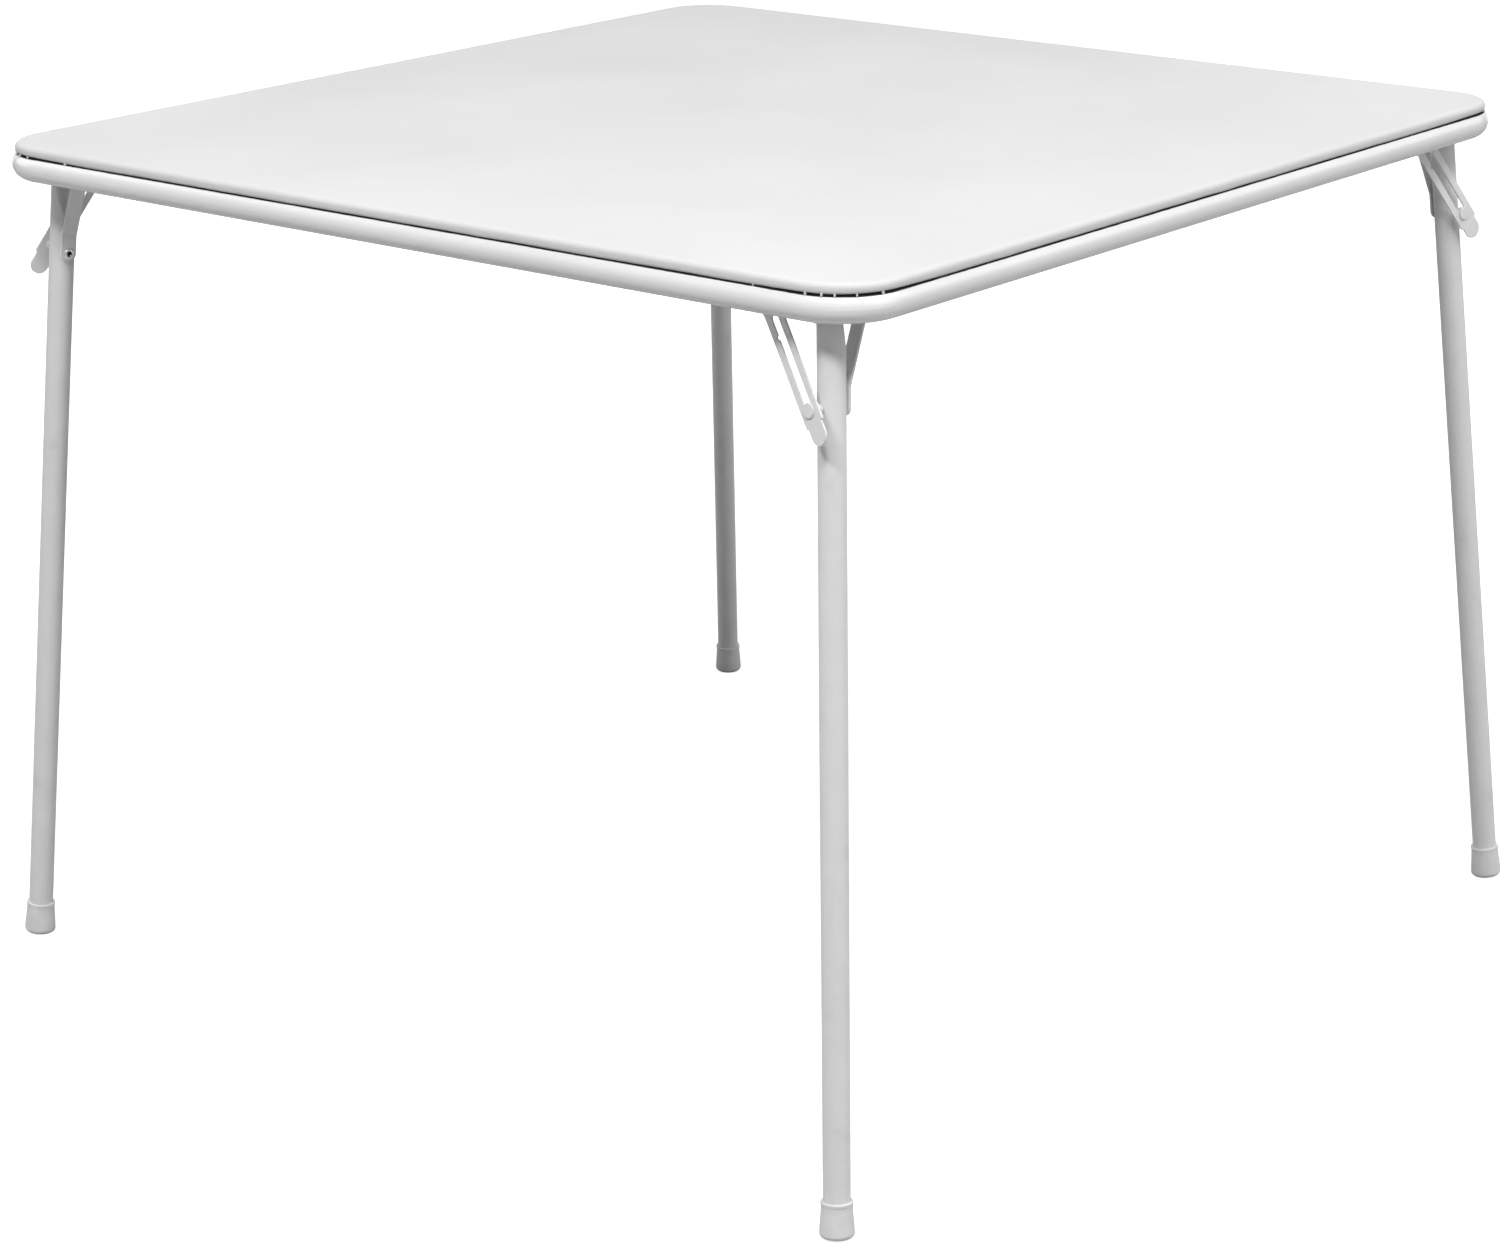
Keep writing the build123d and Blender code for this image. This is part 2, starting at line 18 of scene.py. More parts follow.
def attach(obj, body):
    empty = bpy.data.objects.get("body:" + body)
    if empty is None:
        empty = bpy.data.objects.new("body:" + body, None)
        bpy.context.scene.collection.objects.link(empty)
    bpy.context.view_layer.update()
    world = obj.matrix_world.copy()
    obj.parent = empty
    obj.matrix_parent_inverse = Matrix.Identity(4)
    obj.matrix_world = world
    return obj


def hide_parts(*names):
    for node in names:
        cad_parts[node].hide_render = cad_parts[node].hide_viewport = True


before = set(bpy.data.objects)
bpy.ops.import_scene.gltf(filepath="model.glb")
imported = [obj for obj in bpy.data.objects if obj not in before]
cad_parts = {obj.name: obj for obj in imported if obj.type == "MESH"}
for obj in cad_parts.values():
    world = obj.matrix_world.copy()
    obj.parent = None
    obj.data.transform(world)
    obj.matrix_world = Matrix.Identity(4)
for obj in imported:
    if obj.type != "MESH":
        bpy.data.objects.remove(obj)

LOG = logging.getLogger("card_table")
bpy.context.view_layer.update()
MM = 0.001
WHITE = "#FFFFFF"
# A noise texture hovers about its middle, so tones run between these two of its values.
NOISE_LOW, NOISE_HIGH = 0.3, 0.7


class Corner(Enum):
    """The four corners, by their quarter turns from the front one."""

    FRONT = 0
    LEFT = 1
    BACK = 2
    RIGHT = 3

    @property
    def prefix(self) -> str:
        """Start of the names of this corner's nodes."""
        return self.name.lower()

    @property
    def turn(self) -> Matrix:
        """Rotation that takes the front corner to this one."""
        return Matrix.Rotation(-pi / 2 * self.value, 4, "Z")


def linear(code: str) -> tuple[float, float, float, float]:
    """Turn an sRGB hex colour to linear values.

    Args:
        code: Six hex digits, with or without a leading hash.

    Returns:
        Linear red, green, blue and an alpha of one.
    """
    digits = code.lstrip("#")
    parts = [int(digits[at:at + 2], 16) / 255 for at in (0, 2, 4)]
    red, green, blue = [
        part / 12.92 if part <= 0.04045 else ((part + 0.055) / 1.055) ** 2.4 for part in parts]
    return (red, green, blue, 1.0)


def scale_of(size_mm: float) -> float:
    """Give the texture scale at which a pattern repeats about every size_mm millimetres."""
    return 1 / (size_mm * MM)


def add_node(
    tree: bpy.types.NodeTree,
    kind: str,
    feeds: dict[Any, Any] | None = None,
    stops: tuple[tuple[float, str], ...] = (),
    **settings: Any,
) -> bpy.types.Node:
    """Add one node with its settings, constants and links.

    Args:
        tree: Node tree to add to.
        kind: Blender's name of the node type.
        feeds: Input name or number to a constant or to another node's output.
        stops: Position and hex colour of each stop, for a node with a colour ramp.
        **settings: Properties of the node.

    Returns:
        The new node.
    """
    node = tree.nodes.new(kind)
    for key, value in settings.items():
        setattr(node, key, value)
    for key, value in (feeds or {}).items():
        if isinstance(value, bpy.types.NodeSocket):
            tree.links.new(value, node.inputs[key])
        else:
            node.inputs[key].default_value = value
    if stops:
        elements = node.color_ramp.elements
        while len(elements) < len(stops):
            elements.new(1.0)
        for element, (position, code) in zip(elements, stops):
            element.position = position
            element.color = linear(code)
    return node


def blank_material(
    name: str,
) -> tuple[bpy.types.Material, bpy.types.NodeTree, bpy.types.NodeSocket]:
    """Make an empty node material.

    Args:
        name: Name of the material.

    Returns:
        The material, its tree, and the Object coordinates for its patterns.
    """
    material = bpy.data.materials.new(name)
    material.use_nodes = True
    tree = material.node_tree
    tree.nodes.clear()
    place = add_node(tree, "ShaderNodeTexCoord").outputs["Object"]
    return material, tree, place


@dataclass(frozen=True)
class Finish:
    """A finish of the table, named for its material and how it was made."""

    name: str
    colour: str

    def build(self) -> bpy.types.Material:
        """Build the material, in each kind of finish in its own way."""
        raise NotImplementedError

    def material(self) -> bpy.types.Material:
        """Give the finish's material, which is built when it is first asked for."""
        return bpy.data.materials.get(self.name) or self.build()


@dataclass(frozen=True)
class BakedEnamel(Finish):
    """Stoved gloss enamel on steel tube: sprayed, flowed out and baked hard.

    Above the given level the tube is painted dull black: painted shade, which draws the
    dark line of the seam under the pad.
    """

    shade: str
    roughness: float
    gloss_spread: tuple[float, float] = (0.85, 1.2)
    ior: float = 1.5
    coat: float = 0.35
    coat_roughness: float = 0.12
    drift_mm: float = 140.0
    peel_mm: float = 1.8
    peel_depth_mm: float = 0.05
    peel_strength: float = 0.12
    # The band of painted shade under the pad's lip: its level, edge, raggedness, dull black tone
    # and roughness.
    masked_mm: float | None = None
    mask_edge_mm: float = 0.15
    ragged_mm: float = 0.3
    ragged_run_mm: float = 9.0
    primer: str = "#141414"
    primer_roughness: float = 0.9

    def build(self) -> bpy.types.Material:
        """Build the material: a hard clear gloss over a slight orange peel, drifting in tone.

        Returns:
            The material.
        """
        material, tree, place = blank_material(self.name)
        drift = add_node(tree, "ShaderNodeTexNoise", {
            "Vector": place, "Scale": scale_of(self.drift_mm), "Detail": 2.0}).outputs["Fac"]
        peel = add_node(tree, "ShaderNodeTexNoise", {
            "Vector": place, "Scale": scale_of(self.peel_mm), "Detail": 1.0}).outputs["Fac"]
        tone = add_node(
            tree, "ShaderNodeValToRGB", {"Fac": drift},
            stops=((NOISE_LOW, self.shade), (NOISE_HIGH, self.colour))).outputs["Color"]
        least, most = self.gloss_spread
        gloss = add_node(tree, "ShaderNodeMapRange", {
            "Value": drift, "From Min": NOISE_LOW, "From Max": NOISE_HIGH,
            "To Min": self.roughness * least, "To Max": self.roughness * most}).outputs["Result"]
        bump = add_node(tree, "ShaderNodeBump", {
            "Height": peel, "Strength": self.peel_strength, "Distance": self.peel_depth_mm * MM})
        coat = self.coat
        # Above the given level the tone turns dull black and loses its gloss: painted shade under
        # the pad's lip.
        if self.masked_mm is not None:
            shaded = self.bare_share(tree, place)
            tone = add_node(tree, "ShaderNodeMix", {
                "Factor": shaded, "A": tone, "B": linear(self.primer)},
                data_type="RGBA").outputs["Result"]
            coat = add_node(tree, "ShaderNodeMath", {
                0: shaded, 1: -self.coat, 2: self.coat}, operation="MULTIPLY_ADD").outputs["Value"]
            gloss = add_node(tree, "ShaderNodeMapRange", {
                "Value": shaded, "To Min": self.roughness,
                "To Max": self.primer_roughness}).outputs["Result"]
        shader = add_node(tree, "ShaderNodeBsdfPrincipled", {
            "Base Color": tone, "Roughness": gloss, "Normal": bump.outputs["Normal"],
            "IOR": self.ior, "Coat Weight": coat, "Coat Roughness": self.coat_roughness})
        add_node(tree, "ShaderNodeOutputMaterial", {"Surface": shader.outputs["BSDF"]})
        return material

    def bare_share(
        self, tree: bpy.types.NodeTree, place: bpy.types.NodeSocket,
    ) -> bpy.types.NodeSocket:
        """Tell enamel from the band of painted shade by height, along a slightly ragged edge.

        Args:
            tree: Node tree to add to.
            place: Object coordinates.

        Returns:
            An output that is 0 on the enamel and 1 on the painted shade.
        """
        ragged = add_node(tree, "ShaderNodeTexNoise", {
            "Vector": place, "Scale": scale_of(self.ragged_run_mm), "Detail": 2.0})
        height = add_node(tree, "ShaderNodeSeparateXYZ", {"Vector": place}).outputs["Z"]
        level = add_node(tree, "ShaderNodeMath", {
            0: ragged.outputs["Fac"], 1: self.ragged_mm * MM, 2: height}, operation="MULTIPLY_ADD")
        return add_node(tree, "ShaderNodeMapRange", {
            "Value": level.outputs["Value"], "From Min": self.masked_mm * MM,
            "From Max": (self.masked_mm + self.mask_edge_mm) * MM}).outputs["Result"]


@dataclass(frozen=True)
class PowderPaint(Finish):
    """Polyester powder coat on tube and strip: satin, a little thick, faintly pebbled."""

    shade: str
    scuff: str
    roughness: float
    scuff_roughness: float = 1.35
    scuff_ends: float = 0.25
    shade_starts: float = 0.36
    satin_starts: float = 0.5
    ior: float = 1.5
    scuff_mm: float = 26.0
    pebble_mm: float = 0.9
    pebble_depth_mm: float = 0.06
    pebble_strength: float = 0.18

    def build(self) -> bpy.types.Material:
        """Build the material: a satin white that breaks up highlights, with rare dull scuffs.

        Returns:
            The material.
        """
        material, tree, place = blank_material(self.name)
        pebble = add_node(tree, "ShaderNodeTexNoise", {
            "Vector": place, "Scale": scale_of(self.pebble_mm), "Detail": 2.0}).outputs["Fac"]
        drift = add_node(tree, "ShaderNodeTexNoise", {
            "Vector": place, "Scale": scale_of(self.scuff_mm), "Detail": 4.0}).outputs["Fac"]
        tone = add_node(tree, "ShaderNodeValToRGB", {"Fac": drift}, stops=(
            (self.scuff_ends, self.scuff), (self.shade_starts, self.shade),
            (NOISE_HIGH, self.colour)))
        matt = add_node(tree, "ShaderNodeMapRange", {
            "Value": drift, "From Min": self.scuff_ends, "From Max": self.satin_starts,
            "To Min": self.roughness * self.scuff_roughness, "To Max": self.roughness})
        bump = add_node(tree, "ShaderNodeBump", {
            "Height": pebble, "Strength": self.pebble_strength,
            "Distance": self.pebble_depth_mm * MM})
        shader = add_node(tree, "ShaderNodeBsdfPrincipled", {
            "Base Color": tone.outputs["Color"], "Roughness": matt.outputs["Result"],
            "Normal": bump.outputs["Normal"], "IOR": self.ior})
        add_node(tree, "ShaderNodeOutputMaterial", {"Surface": shader.outputs["BSDF"]})
        return material


@dataclass(frozen=True)
class BrightZinc(Finish):
    """Zinc plated on rivets, pins, screws and wire: cool, bright, finely scratched."""

    shade: str
    roughness: float
    gloss_spread: tuple[float, float] = (0.7, 1.4)
    # Real scratches are finer. They are drawn this coarse so that they show.
    scratch_mm: float = 0.5
    scratch_depth_mm: float = 0.03
    scratch_strength: float = 0.1
    cloud_mm: float = 2.0
    cloud_bright: float = 0.65

    def build(self) -> bpy.types.Material:
        """Build the material: a metal whose sharp highlights are broken by fine scratches.

        Returns:
            The material.
        """
        material, tree, place = blank_material(self.name)
        cloud = add_node(tree, "ShaderNodeTexNoise", {
            "Vector": place, "Scale": scale_of(self.cloud_mm), "Detail": 3.0})
        scratch = add_node(tree, "ShaderNodeTexNoise", {
            "Vector": place, "Scale": scale_of(self.scratch_mm), "Detail": 5.0,
            "Roughness": 0.7}).outputs["Fac"]
        tone = add_node(
            tree, "ShaderNodeValToRGB", {"Fac": cloud.outputs["Fac"]},
            stops=((NOISE_LOW, self.shade), (self.cloud_bright, self.colour)))
        least, most = self.gloss_spread
        gloss = add_node(tree, "ShaderNodeMapRange", {
            "Value": scratch, "From Min": NOISE_LOW, "From Max": NOISE_HIGH,
            "To Min": self.roughness * least, "To Max": self.roughness * most})
        bump = add_node(tree, "ShaderNodeBump", {
            "Height": scratch, "Strength": self.scratch_strength,
            "Distance": self.scratch_depth_mm * MM})
        shader = add_node(tree, "ShaderNodeBsdfPrincipled", {
            "Base Color": tone.outputs["Color"], "Metallic": 1.0,
            "Roughness": gloss.outputs["Result"], "Normal": bump.outputs["Normal"]})
        add_node(tree, "ShaderNodeOutputMaterial", {"Surface": shader.outputs["BSDF"]})
        return material


@dataclass(frozen=True)
class MouldedRubber(Finish):
    """Moulded pale rubber of the foot caps: dull, slightly bloomed, darker towards the sole."""

    bloom: str
    scuff: str
    roughness: float
    ior: float = 1.52
    bloom_starts: float = 0.35
    bloom_mm: float = 12.0
    grain_mm: float = 0.7
    grain_depth_mm: float = 0.08
    grain_strength: float = 0.25
    scuff_height_mm: float = 5.0
    scuff_share: float = 0.6

    def build(self) -> bpy.types.Material:
        """Build the material: matt rubber with a pale bloom, darker towards the floor.

        Returns:
            The material.
        """
        material, tree, place = blank_material(self.name)
        grain = add_node(tree, "ShaderNodeTexNoise", {
            "Vector": place, "Scale": scale_of(self.grain_mm), "Detail": 3.0})
        cloud = add_node(tree, "ShaderNodeTexNoise", {
            "Vector": place, "Scale": scale_of(self.bloom_mm), "Detail": 3.0})
        tone = add_node(
            tree, "ShaderNodeValToRGB", {"Fac": cloud.outputs["Fac"]},
            stops=((self.bloom_starts, self.colour), (NOISE_HIGH, self.bloom)))
        # The lowest few millimetres of the cap turn darker towards the sole.
        height = add_node(tree, "ShaderNodeSeparateXYZ", {"Vector": place}).outputs["Z"]
        low = add_node(tree, "ShaderNodeMapRange", {
            "Value": height, "From Min": 0.0, "From Max": self.scuff_height_mm * MM,
            "To Min": self.scuff_share, "To Max": 0.0})
        darkened = add_node(tree, "ShaderNodeMix", {
            "Factor": low.outputs["Result"], "A": tone.outputs["Color"],
            "B": linear(self.scuff)}, data_type="RGBA")
        bump = add_node(tree, "ShaderNodeBump", {
            "Height": grain.outputs["Fac"], "Strength": self.grain_strength,
            "Distance": self.grain_depth_mm * MM})
        shader = add_node(tree, "ShaderNodeBsdfPrincipled", {
            "Base Color": darkened.outputs["Result"], "Roughness": self.roughness,
            "Normal": bump.outputs["Normal"], "IOR": self.ior})
        add_node(tree, "ShaderNodeOutputMaterial", {"Surface": shader.outputs["BSDF"]})
        return material


@dataclass(frozen=True)
class GrainedVinyl(Finish):
    """Calendered PVC sheet with a pressed leather grain, stretched over thin foam."""

    shade: str
    roughness: float
    ior: float = 1.53
    specular: float = 0.25
    sheen: float = 0.05
    sheen_roughness: float = 0.5
    drift_mm: float = 160.0
    grain_mm: float = 1.3
    pore_mm: float = 0.45
    relief_depth_mm: float = 0.08
    relief_strength: float = 0.3

    def build(self) -> bpy.types.Material:
        """Build the material: a soft satin white whose grain softens every highlight.

        Returns:
            The material.
        """
        material, tree, place = blank_material(self.name)
        drift = add_node(tree, "ShaderNodeTexNoise", {
            "Vector": place, "Scale": scale_of(self.drift_mm), "Detail": 2.0})
        grain = add_node(tree, "ShaderNodeTexVoronoi", {
            "Vector": place, "Scale": scale_of(self.grain_mm), "Randomness": 1.0},
            feature="SMOOTH_F1")
        pores = add_node(tree, "ShaderNodeTexNoise", {
            "Vector": place, "Scale": scale_of(self.pore_mm), "Detail": 2.0})
        relief = add_node(tree, "ShaderNodeMath", {
            0: grain.outputs["Distance"], 1: pores.outputs["Fac"]}, operation="ADD")
        tone = add_node(
            tree, "ShaderNodeValToRGB", {"Fac": drift.outputs["Fac"]},
            stops=((NOISE_LOW, self.shade), (NOISE_HIGH, self.colour)))
        bump = add_node(tree, "ShaderNodeBump", {
            "Height": relief.outputs["Value"], "Strength": self.relief_strength,
            "Distance": self.relief_depth_mm * MM})
        shader = add_node(tree, "ShaderNodeBsdfPrincipled", {
            "Base Color": tone.outputs["Color"], "Roughness": self.roughness,
            "Normal": bump.outputs["Normal"], "IOR": self.ior,
            "Specular IOR Level": self.specular, "Sheen Weight": self.sheen,
            "Sheen Roughness": self.sheen_roughness})
        add_node(tree, "ShaderNodeOutputMaterial", {"Surface": shader.outputs["BSDF"]})
        return material


@dataclass(frozen=True)
class PressedHardboard(Finish):
    """Hardboard pressed on a wire screen: brown fibre with the screen's print on its back."""

    fibre: str
    roughness: float
    ior: float = 1.45
    fibre_mm: float = 6.0
    screen_mm: float = 2.6
    screen_depth_mm: float = 0.15
    screen_strength: float = 0.5

    def build(self) -> bpy.types.Material:
        """Build the material: mottled brown fibre, dimpled in a regular mesh.

        Returns:
            The material.
        """
        material, tree, place = blank_material(self.name)
        fibre = add_node(tree, "ShaderNodeTexNoise", {
            "Vector": place, "Scale": scale_of(self.fibre_mm), "Detail": 6.0, "Roughness": 0.75})
        tone = add_node(
            tree, "ShaderNodeValToRGB", {"Fac": fibre.outputs["Fac"]},
            stops=((NOISE_LOW, self.fibre), (NOISE_HIGH, self.colour)))
        axes = add_node(tree, "ShaderNodeSeparateXYZ", {"Vector": place})
        waves = []
        for axis in ("X", "Y"):
            turned = add_node(tree, "ShaderNodeMath", {
                0: axes.outputs[axis], 1: 2 * pi * scale_of(self.screen_mm)}, operation="MULTIPLY")
            wave = add_node(
                tree, "ShaderNodeMath", {0: turned.outputs["Value"]}, operation="SINE")
            waves.append(wave.outputs["Value"])
        screen = add_node(tree, "ShaderNodeMath", {0: waves[0], 1: waves[1]}, operation="MULTIPLY")
        bump = add_node(tree, "ShaderNodeBump", {
            "Height": screen.outputs["Value"], "Strength": self.screen_strength,
            "Distance": self.screen_depth_mm * MM})
        shader = add_node(tree, "ShaderNodeBsdfPrincipled", {
            "Base Color": tone.outputs["Color"], "Roughness": self.roughness,
            "Normal": bump.outputs["Normal"], "IOR": self.ior})
        add_node(tree, "ShaderNodeOutputMaterial", {"Surface": shader.outputs["BSDF"]})
        return material


@dataclass(frozen=True)
class OpenCellFoam(Finish):
    """Sliced polyurethane foam: pale, dull and full of small open cells."""

    # Tone of the cells' middles: painted shade in the pits.
    hollow: str
    roughness: float = 0.9
    ior: float = 1.45
    cell_mm: float = 0.8
    cell_stops: tuple[float, float] = (0.1, 0.5)
    cell_depth_mm: float = 0.3
    cell_strength: float = 0.6

    def build(self) -> bpy.types.Material:
        """Build the material: a dull cream pitted by its cells, with painted shade in the pits.

        Returns:
            The material.
        """
        material, tree, place = blank_material(self.name)
        cells = add_node(tree, "ShaderNodeTexVoronoi", {
            "Vector": place, "Scale": scale_of(self.cell_mm)}).outputs["Distance"]
        # The cells' middles take the darker tone: painted shade in the pits.
        inner, outer = self.cell_stops
        tone = add_node(
            tree, "ShaderNodeValToRGB", {"Fac": cells},
            stops=((inner, self.hollow), (outer, self.colour)))
        bump = add_node(tree, "ShaderNodeBump", {
            "Height": cells, "Strength": self.cell_strength, "Distance": self.cell_depth_mm * MM})
        shader = add_node(tree, "ShaderNodeBsdfPrincipled", {
            "Base Color": tone.outputs["Color"], "Roughness": self.roughness,
            "Normal": bump.outputs["Normal"], "IOR": self.ior})
        add_node(tree, "ShaderNodeOutputMaterial", {"Surface": shader.outputs["BSDF"]})
        return material


# The rail turns dull black above 664.75 mm: painted shade in the gap under the pad's lip.
RAIL_ENAMEL = BakedEnamel(
    "baked_enamel_rail", colour="#E9E9E9", shade="#E4E4E4", roughness=0.26, masked_mm=664.75)
BRACKET_ENAMEL = BakedEnamel(
    "baked_enamel_bracket", colour="#E9E9E9", shade="#E4E4E4", roughness=0.26)
LEG_POWDER = PowderPaint(
    "powder_paint_leg", colour="#E2E2E2", shade="#DEDEDE", scuff="#D6D6D6", roughness=0.4)
ARM_POWDER = PowderPaint(
    "powder_paint_strip", colour="#E4E4E4", shade="#E0E0E0", scuff="#D8D8D8", roughness=0.38)
RIVET_ZINC = BrightZinc(
    "bright_zinc_rivet", colour="#F2F2F2", shade="#DEDFDF", roughness=0.3)
WIRE_ZINC = BrightZinc(
    "galvanised_staple_wire", colour="#CFD0D0", shade="#B5B6B7", roughness=0.35)
CAP_RUBBER = MouldedRubber(
    "moulded_rubber_cap", colour="#DCDCDC", bloom="#E4E4E4", scuff="#B6B6B6", roughness=0.6)
TOP_VINYL = GrainedVinyl(
    "grained_vinyl_cover", colour="#D1D1D1", shade="#CCCCCC", roughness=0.58)
BOARD_FIBRE = PressedHardboard(
    "pressed_hardboard_back", colour="#7A5B3F", fibre="#5C4029", roughness=0.75)
PAD_FOAM = OpenCellFoam("open_cell_foam", colour="#E6E0CB", hollow="#C9C0A4")


def dress(node: str, finish: Finish) -> None:
    """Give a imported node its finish.

    Args:
        node: Name of the CAD node.
        finish: Finish for all its slots.
    """
    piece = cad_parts[node]
    for slot in piece.material_slots:
        slot.material = finish.material()
    LOG.info("dressed %s in %s", node, finish.name)


def settle(
    mesh: bmesh.types.BMesh, name: str, finish: Finish, body: str,
) -> bpy.types.Object:
    """Turn a finished bmesh into a piece that rides on a body.

    Args:
        mesh: Shape of the piece, freed here.
        name: Name of the piece.
        finish: Its finish.
        body: CAD body it rides on.

    Returns:
        The new object, at the origin.
    """
    data = bpy.data.meshes.new(name)
    mesh.to_mesh(data)
    mesh.free()
    data.materials.append(finish.material())
    data.shade_smooth()
    piece = bpy.data.objects.new(name, data)
    bpy.context.scene.collection.objects.link(piece)
    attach(piece, body)
    LOG.info("built %s: %d faces on %s", name, len(data.polygons), body)
    return piece


def clamp(value: float, low: float, high: float) -> float:
    """Hold a value between two others."""
    return max(low, min(high, value))


@dataclass
class PaddedTop:
    """The padded top: a vinyl cover drawn over foam and stapled under the board."""

    half: float = 429.0 * MM
    corner_radius: float = 46.8 * MM
    edge_radius: float = 4.3 * MM
    edge_steps: int = 6
    top_level: float = 674.0 * MM
    lip_level: float = 665.6 * MM
    lip_radius: float = 2.2 * MM
    lip_steps: int = 3
    thickness: float = 0.7 * MM
    wrap_level: float = 668.0 * MM
    wrap_reach: float = 31.0 * MM
    wrap_halfway_share: float = 0.6
    rail_level: float = 656.6 * MM
    rail_inset: float = 8.3 * MM
    rail_clear: float = 11.4 * MM
    rail_shares: tuple[float, ...] = (0.35, 0.7, 1.0)
    lip_return: float = 1.3
    grid_step: float = 10.5 * MM
    smoothing: int = 1

    # How unevenly the cover is pulled.
    wave: float = 0.32 * MM
    slow_run: float = 110 * MM
    slow_share: float = 0.5
    quick_run: float = 27 * MM
    quick_share: float = 0.9
    quick_layer: float = 3.0 * MM
    corner_lift: float = 0.9 * MM
    lift_share: float = 0.2
    flat_give: float = 0.12 * MM
    flat_crease: float = 0.1 * MM

    # The tucks, by their places along the edge from each corner's middle.
    tuck_places_mm: tuple[float, ...] = (-76.0, -32.0, -20.0, -11.0, 4.0, 23.0)
    tuck_size: tuple[float, float, float] = (0.75, 1.3, 1.5)
    tuck_shift_mm: float = 1.7
    tuck_inset_share: float = 0.75
    tuck_rise: float = 0.35 * MM
    tuck_least: float = 0.8
    tuck_spread: float = 0.35
    tuck_rhythm: float = 2.3

    # The foam, a little inside the cover.
    foam_inset: float = 2.5 * MM
    foam_thickness: float = 2.0 * MM
    foam_ease: float = 1.8 * MM
    foam_gap: float = 0.05 * MM

    @property
    def core(self) -> float:
        """Half width at which the corners' arcs begin."""
        return self.half - self.corner_radius

    def build(self) -> None:
        """Build the cover with its tucks and the foam, and dress the board and staples."""
        cover = settle(self.cover_mesh(), "vinyl_skin", TOP_VINYL, "top")
        smooth = cover.modifiers.new("smooth", "SUBSURF")
        smooth.levels = smooth.render_levels = self.smoothing
        wall = cover.modifiers.new("wall", "SOLIDIFY")
        wall.thickness = self.thickness
        wall.offset = -1.0
        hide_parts("vinyl_cover")
        settle(self.tuck_mesh(), "cover_tucks", TOP_VINYL, "top")
        foam = settle(self.foam_mesh(), "foam_layer", PAD_FOAM, "top")
        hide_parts("foam_pad")
        dress("top_board", BOARD_FIBRE)
        dress("cover_staples", WIRE_ZINC)

    def core_point(self, point: Vector) -> Vector:
        """Give the nearest point of the core square, at level zero."""
        core = self.core
        return Vector((clamp(point.x, -core, core), clamp(point.y, -core, core), 0))

    def round_corner(self, point: Vector, radius: float) -> Vector:
        """Ease a square grid's point so that the grid's corner becomes an arc.

        Args:
            point: Place on the square grid.
            radius: Radius of the arc.

        Returns:
            The eased place, at the same height.
        """
        flat = self.core
        reach_x, reach_y = abs(point.x) - flat, abs(point.y) - flat
        if reach_x <= 0 or reach_y <= 0:
            return point.copy()
        share_x, share_y = reach_x / radius, reach_y / radius
        eased_x = share_x * sqrt(1 - share_y**2 / 2)
        eased_y = share_y * sqrt(1 - share_x**2 / 2)
        sign_x, sign_y = (1 if point.x > 0 else -1), (1 if point.y > 0 else -1)
        return Vector((
            sign_x * (flat + eased_x * radius), sign_y * (flat + eased_y * radius), point.z))

    def at_inset(self, point: Vector, inset: float, level: float) -> Vector:
        """Slide an edge point level to another inset of the rounded square.

        Args:
            point: Point on some ring of the edge.
            inset: Distance in from the cover's outer side.
            level: Height of the result.

        Returns:
            The point on the ring at that inset.
        """
        anchor = self.core_point(point)
        out = Vector((point.x, point.y, 0)) - anchor
        out.normalize()
        return anchor + out * (self.corner_radius - inset) + Vector((0, 0, level))

    def edge_stations(self) -> list[tuple[float, float]]:
        """List the rings of the cover's border, from the top's flat to the wrap's end.

        Returns:
            Inset and level of each ring.
        """
        rings = []
        for step in range(1, self.edge_steps + 1):
            angle = pi / 2 * step / self.edge_steps
            rings.append((
                self.edge_radius * (1 - sin(angle)),
                self.top_level - self.edge_radius * (1 - cos(angle))))
        upper, lower = self.top_level - self.edge_radius, self.lip_level + self.lip_radius
        rings.append((0.0, (upper + lower) / 2))
        for step in range(self.lip_steps + 1):
            angle = pi / 2 * step / self.lip_steps
            rings.append((
                self.lip_radius * (1 - cos(angle)),
                self.lip_level + self.lip_radius * (1 - sin(angle))))
        for share in self.rail_shares:
            run = (1 - share) * (self.rail_inset - self.lip_return * self.lip_radius)
            rise = sqrt(self.rail_clear**2 - run**2)
            rings.append((self.rail_inset - run, min(self.rail_level + rise, self.wrap_level)))
        rings.append((self.wrap_reach * self.wrap_halfway_share, self.wrap_level))
        rings.append((self.wrap_reach, self.wrap_level))
        return rings

    def cover_mesh(self) -> bmesh.types.BMesh:
        """Model the cover: a fine grid for the top, its border drawn down, round and under.

        Returns:
            The cover's outer skin.
        """
        mesh = bmesh.new()
        flat_half = self.half - self.edge_radius
        count = round(2 * flat_half / self.grid_step)
        bmesh.ops.create_grid(mesh, x_segments=count, y_segments=count, size=flat_half)
        for vert in mesh.verts:
            vert.co = self.round_corner(vert.co, self.corner_radius - self.edge_radius)
            vert.co.z = self.top_level
        border = [edge for edge in mesh.edges if edge.is_boundary]
        for inset, level in self.edge_stations():
            grown = bmesh.ops.extrude_edge_only(mesh, edges=border)["geom"]
            for vert in (item for item in grown if isinstance(item, bmesh.types.BMVert)):
                vert.co = self.at_inset(vert.co, inset, level)
            border = [item for item in grown if isinstance(item, bmesh.types.BMEdge)]
        for vert in mesh.verts:
            vert.co += self.sway(vert.co)
        bmesh.ops.recalc_face_normals(mesh, faces=mesh.faces)
        if sum(face.normal.z * face.calc_area() for face in mesh.faces) < 0:
            bmesh.ops.reverse_faces(mesh, faces=mesh.faces)
        return mesh

